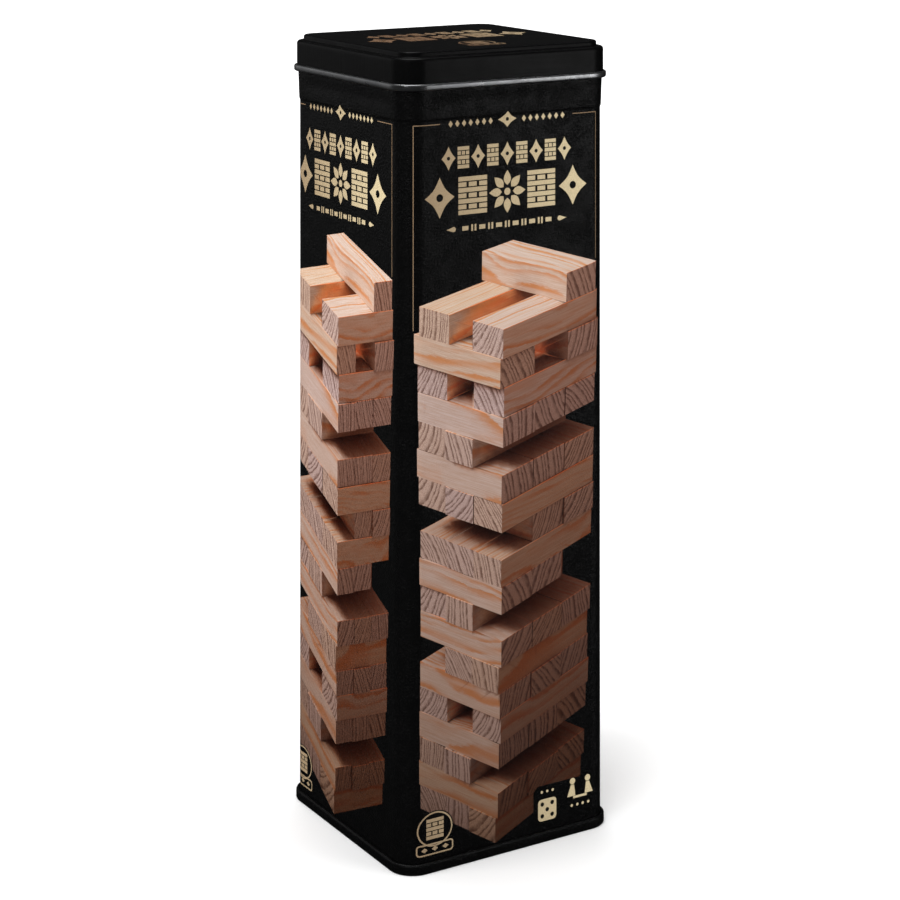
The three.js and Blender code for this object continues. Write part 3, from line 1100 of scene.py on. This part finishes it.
def on_wall(places, panel):
    """Points and normals where a panel's places in the picture lie on the tin."""
    u, z = (places[:, 0] + panel.slip) * MM, places[:, 1] * MM
    nudge = 0.05 * MM
    out = np.array([flare(h) - groove(a, h) for a, h in zip(u, z)])
    above = np.array([flare(h + nudge) - groove(a, h + nudge) for a, h in zip(u, z)])
    slope = (above - out) / nudge
    angle = np.clip(abs(u) - CENTRE, 0, None) / CORNER_RADIUS * np.sign(u)
    reach = CORNER_RADIUS + out
    x = np.clip(u, -CENTRE, CENTRE) + reach * np.sin(angle)
    y = -CENTRE - reach * np.cos(angle)
    normals = np.stack([np.sin(angle), -np.cos(angle), -slope], axis=1)
    normals /= np.linalg.norm(normals, axis=1)[:, None]
    normals[:, 0], normals[:, 1] = quarter_turned(normals[:, 0].copy(), normals[:, 1].copy(), panel.turns)
    return np.stack([*quarter_turned(x, y, panel.turns), z], axis=1), normals


def set_attribute(mesh, name, domain, values):
    """Stores numbers (or triples of them) on a mesh under a name that materials read."""
    values = np.asarray(values, np.float32)
    kind, field = ("FLOAT", "value") if values.ndim == 1 else ("FLOAT_VECTOR", "vector")
    mesh.attributes.new(name, kind, domain).data.foreach_set(field, values.ravel())


def build_panel(panel):
    """One wall's print, 0.05 mm outside the sheet, with the tin's own normals."""
    places, triangles, paint, values = panel_print(panel)
    points, normals = on_wall(places, panel)
    materials = [black_print, tower_print, gold_ink]
    piece = new_piece("print_" + panel.name, points, triangles.tolist(), materials, "tin")
    piece.data.polygons.foreach_set("material_index", paint.astype(np.int32))
    for name, numbers in values.items():
        shape = (-1,) if numbers.ndim == 2 else (-1, 3)
        set_attribute(piece.data, name, "CORNER", numbers.reshape(shape))
    piece.data.normals_split_custom_set_from_vertices(normals.tolist())


SEEN = [(index, face) for index in range(len(BLOCKS)) for face in range(6) if is_seen(index, face)]
OUTLINES = [[[pictured(corner) for corner in BLOCKS[index].corners(face)]] for index, face in SEEN]
for panel in PANELS:
    build_panel(panel)


# === Blocks ===


def build_block(node, number):
    """One sanded block with softened edges, standing for its CAD node."""
    low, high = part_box(node)
    middle, size = (low + high) / 2, high - low
    along = 0 if size.x > size.y else 1
    shape = bmesh.new()
    bmesh.ops.create_cube(shape, size=1)
    bmesh.ops.scale(shape, vec=size, verts=shape.verts)
    bmesh.ops.bevel(shape, geom=shape.edges[:], offset=0.55 * MM, segments=3, profile=0.6, affect="EDGES")
    bmesh.ops.translate(shape, vec=middle, verts=shape.verts)
    shape.verts.index_update()
    points = [vertex.co.copy() for vertex in shape.verts]
    faces = [[vertex.index for vertex in face.verts] for face in shape.faces]
    shape.free()
    mesh = new_piece(node + "_wood", points, faces, [pine], node, (node,)).data
    chance = random.Random(number)
    seed = [chance.random() for _ in range(3)]
    local = [(point - middle) / MM for point in points]
    set_attribute(mesh, "grain", "POINT", [(p[along], p[1 - along], p.z) for p in local])
    set_attribute(mesh, "seed", "POINT", [seed] * len(points))
    set_attribute(mesh, "end", "FACE", [float(abs(f.normal[along]) > 0.7) for f in mesh.polygons])
    mesh.normals_split_custom_set_from_vertices(softened(mesh))


def softened(mesh):
    """Vertex normals weighted by face area, so that the flat faces stay flat up to the softened edges."""
    sums = [Vector((0, 0, 0)) for _ in mesh.vertices]
    for polygon in mesh.polygons:
        for index in polygon.vertices:
            sums[index] += polygon.normal * polygon.area
    return [tuple(s.normalized()) for s in sums]


block_nodes = sorted(name for name in frame["nodes"] if name.startswith("tier_"))
for number, node in enumerate(block_nodes):
    build_block(node, number)


# === Lid ornament and leaflet ===


def thin_print(name, shapes, place, material, body, fade=0.0):
    """Ink as a very thin solid: place(x, y, side) gives the point for its underside (0) or top (1)."""
    points, edges = [], []
    for contours in shapes:
        contour_edges(points, edges, contours)
    spots, triangles = triangulate(points, edges)
    triangles = triangles[inside_any(spots[triangles].mean(axis=1), shapes)]
    used = np.unique(triangles)
    number = {int(old): new for new, old in enumerate(used)}
    top = [tuple(number[int(i)] for i in t) for t in triangles]
    count = len(used)
    solid = [place(*spots[i], 1) for i in used] + [place(*spots[i], 0) for i in used]
    faces = top + [tuple(i + count for i in reversed(t)) for t in top]
    sides = {(t[i], t[(i + 1) % 3]) for t in top for i in range(3)}
    faces += [(b, a, a + count, b + count) for a, b in sides if (b, a) not in sides]
    piece = new_piece(name, solid, faces, [material], body)
    piece.data.shade_flat()
    reach = 80  # millimetres from brown to cream in the painted sheen
    set_attribute(piece.data, "fade", "POINT", [fade + spots[i][0] / reach for i in used] * 2)


def build_lid_gold():
    """The title's ornaments again, on the lid's raised panel, with a small badge beside them."""

    def place(x, y, side):
        return (x * MM, y * MM, lid_high.z - (1 - side) * 1.4 * PRINT)

    # painted sheen: the lid's gold, too, runs from brown on the left to cream on the right
    thin_print("lid_gold", title(0, 5) + badge(-2, -24), place, gold_ink, "lid", 0.1)


def build_leaflet(low, high):
    """One sheet of paper in a three-panel fold, its flat panels held a little apart at the folds."""
    middle = (low + high) / 2
    sheet, pitch = 0.25 * MM, 0.59 * MM
    half = (high.x - low.x) / 2 - pitch / 2 - sheet / 2
    first = low.z + sheet / 2
    levels = [first, first + pitch, first + 2 * pitch]
    path = line((-half, levels[0]), (half, levels[0]), 12)
    path += arc(half, first + pitch / 2, pitch / 2, -90, 90, 8)
    path += line((half, levels[1]), (-half, levels[1]), 12)[1:]
    path += [(-half - (x + half), z) for x, z in arc(-half, first + 1.5 * pitch, pitch / 2, -90, 90, 8)]
    path += line((-half, levels[2]), (half, levels[2]), 12)[1:] + [(half, levels[2])]
    right, left = sheet_sides(path, sheet)
    outline = right + left[::-1]
    rows, count = 16, len(outline)
    length = high.y - low.y
    points = [(x + middle.x, low.y + length * i / rows, z) for i in range(rows + 1) for x, z in outline]
    faces = skin([range(i * count, (i + 1) * count) for i in range(rows + 1)])
    last = len(right)
    for end, flip in ((0, False), (rows * count, True)):
        for j in range(last - 1):
            quad = (end + j, end + count - 1 - j, end + count - 2 - j, end + j + 1)
            faces.append(quad[::-1] if flip else quad)
    new_piece("leaflet_sheet", points, faces, [paper], "leaflet", ("rules_leaflet",))


def build_leaflet_print(low, high):
    """A frame, a small tower and a row of lozenges in brown ink on the leaflet's cover."""
    centre = (low + high) / 2 / MM
    ink = 0.02 * MM

    def place(x, y, side):
        return ((x + centre.x) * MM, (y + centre.y) * MM, high.z - (1 - side) * 1.5 * ink)

    shapes = [[plate(0, 0, 40, 62, 1.5), plate(0, 0, 39.2, 61.2, 1.1)]]
    shapes += stack(0, 4, 22, 34, 11) + [[lozenge(6 * i, -22, 3.2, 4.6)] for i in range(-2, 3)]
    thin_print("leaflet_ink", shapes, place, brown_ink, "leaflet")


build_lid_gold()
build_leaflet(*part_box("rules_leaflet"))
build_leaflet_print(*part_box("rules_leaflet"))


# === Stage, lights and camera ===


def make_floor():
    """A pale floor that fades to pure white and looks dark in reflections, so that black stays black."""
    n = Nodes("floor_white")
    place = n.add("NewGeometry").outputs["Position"]
    pale = n.mix(n.noise(place, 3.0), (0.94, 0.94, 0.94), (0.96, 0.96, 0.96))
    far = n.ramp(n.length(n.stretched(place, (1, 1, 0))), 0.05, 0.30)
    rays = n.add("LightPath").outputs
    seen = n.mix(rays["Is Glossy Ray"], pale, (0.012, 0.012, 0.012))
    glow = n.times(far, rays["Is Camera Ray"])
    white = n.finish(seen, 0.9, specular=0.0, Emission_Color=(1, 1, 1), Emission_Strength=glow)
    size = 6.0
    corners = [(-size, -size, 0), (size, -size, 0), (size, size, 0), (-size, size, 0)]
    add_object("floor", new_mesh("floor", corners, [(0, 1, 2, 3)], [white]))


def make_world():
    """White to the camera, a soft grey to everything that it lights, and dim in reflections."""
    n = Nodes("studio", "worlds", "Background")
    rays = n.add("LightPath").outputs
    unseen = n.add("Mix", {0: rays["Is Glossy Ray"], 2: 0.45, 3: 0.02}).outputs[0]
    strength = n.add("Mix", {0: rays["Is Camera Ray"], 2: unseen, 3: 1.05}).outputs[0]
    n.give(n.shader.inputs["Strength"], strength)
    n.give(n.shader.inputs["Color"], (1, 1, 1))
    bpy.context.scene.world = n.owner


def softbox(name, place, aim, wide, high, power):
    """A rectangular lamp that faces the tin's middle line at a height."""
    data = bpy.data.lights.new(name, "AREA")
    data.shape = "RECTANGLE"
    data.size, data.size_y, data.energy = wide, high, power
    lamp = add_object(name, data)
    lamp.location = place
    lamp.rotation_euler = (Vector((0, 0, aim)) - Vector(place)).to_track_quat("-Z", "Y").to_euler()
    return lamp


def make_lamps():
    """Lamps that leave no reflection, so that black stays black, and lamps that show only as a reflection."""
    middle, lid = 0.15, 0.26  # heights to aim at
    for lamp in (
        softbox("key", (-1.3, -1.0, 1.6), middle, 1.2, 1.2, 21),
        softbox("fill", (1.2, -1.6, 1.3), middle, 1.0, 1.0, 12),
        softbox("left", (-1.8, 0.3, 0.8), middle, 1.0, 1.2, 17),
        softbox("top", (0.0, 0.2, 1.9), middle, 1.6, 1.6, 14),
        softbox("back", (0.5, 1.6, 1.2), middle, 1.4, 1.0, 10),
    ):
        lamp.visible_glossy = False
    for lamp in (
        softbox("shine_above", (-0.1, 0.1, 1.7), lid, 1.2, 1.2, 9),
        softbox("shine_left", (-1.0, 1.5, 0.6), lid, 1.4, 1.1, 1.0),
        softbox("shine_right", (1.0, -1.5, 1.2), lid, 0.9, 0.35, 0.18),
        softbox("shine_corner", (-1.5, -0.95, 1.0), lid, 0.5, 0.6, 1.1),
        softbox("shine_low", (0.85, -1.1, 0.21), 0.2, 0.4, 0.36, 0.8),
    ):
        lamp.visible_diffuse = False


CAMERA_PLACE = Vector((-428.9, -726.5, 352.6)) * MM
CAMERA_WAY = Vector((0.5343, 0.8453, 0.0))
CAMERA_LENS, SHIFT_X, SHIFT_Y = 96.02, -0.0791, -0.7179
SEEN_HEIGHT = 0.315  # how much upright height the photo's frame takes in at the tin


def drive(data, path, expression, camera):
    """Drives a camera setting from the lid's rise and the camera's place."""
    driver = data.driver_add(path).driver
    driver.type = "SCRIPTED"
    for name, target, channel in (("rise", frame["bodies"]["lid"], "LOC_Z"), ("x", camera, "LOC_X")):
        variable = driver.variables.new()
        variable.name = name
        variable.type = "TRANSFORMS"
        variable.targets[0].id = target
        variable.targets[0].transform_type = channel
        variable.targets[0].transform_space = "WORLD_SPACE"
    driver.expression = expression


def make_camera():
    """The photo's viewpoint, level, with the frame shifted down; the frame grows upwards as the lid rises."""
    data = bpy.data.cameras.new("camera")
    camera = bpy.context.scene.camera = add_object("camera", data)
    camera.location = CAMERA_PLACE
    camera.rotation_euler = CAMERA_WAY.to_track_quat("-Z", "Y").to_euler()
    data.sensor_width = 36
    data.lens, data.shift_x, data.shift_y = CAMERA_LENS, SHIFT_X, SHIFT_Y
    rise = "min(max(rise, 0), 0.3)"
    wider = f"(1 + {rise} / {SEEN_HEIGHT})"
    at_photo = f"(abs(x - {CAMERA_PLACE.x:.6f}) < 0.0005)"
    drive(data, "lens", f"{CAMERA_LENS} / {wider}", camera)
    drive(data, "shift_x", f"{at_photo} * {SHIFT_X} / {wider}", camera)
    drive(data, "shift_y", f"{at_photo} * ({SHIFT_Y} + {rise} / {2 * SEEN_HEIGHT}) / {wider}", camera)


make_floor()
make_world()
make_lamps()
make_camera()

view = bpy.context.scene.view_settings
view.view_transform = "Standard"
view.look = "None"
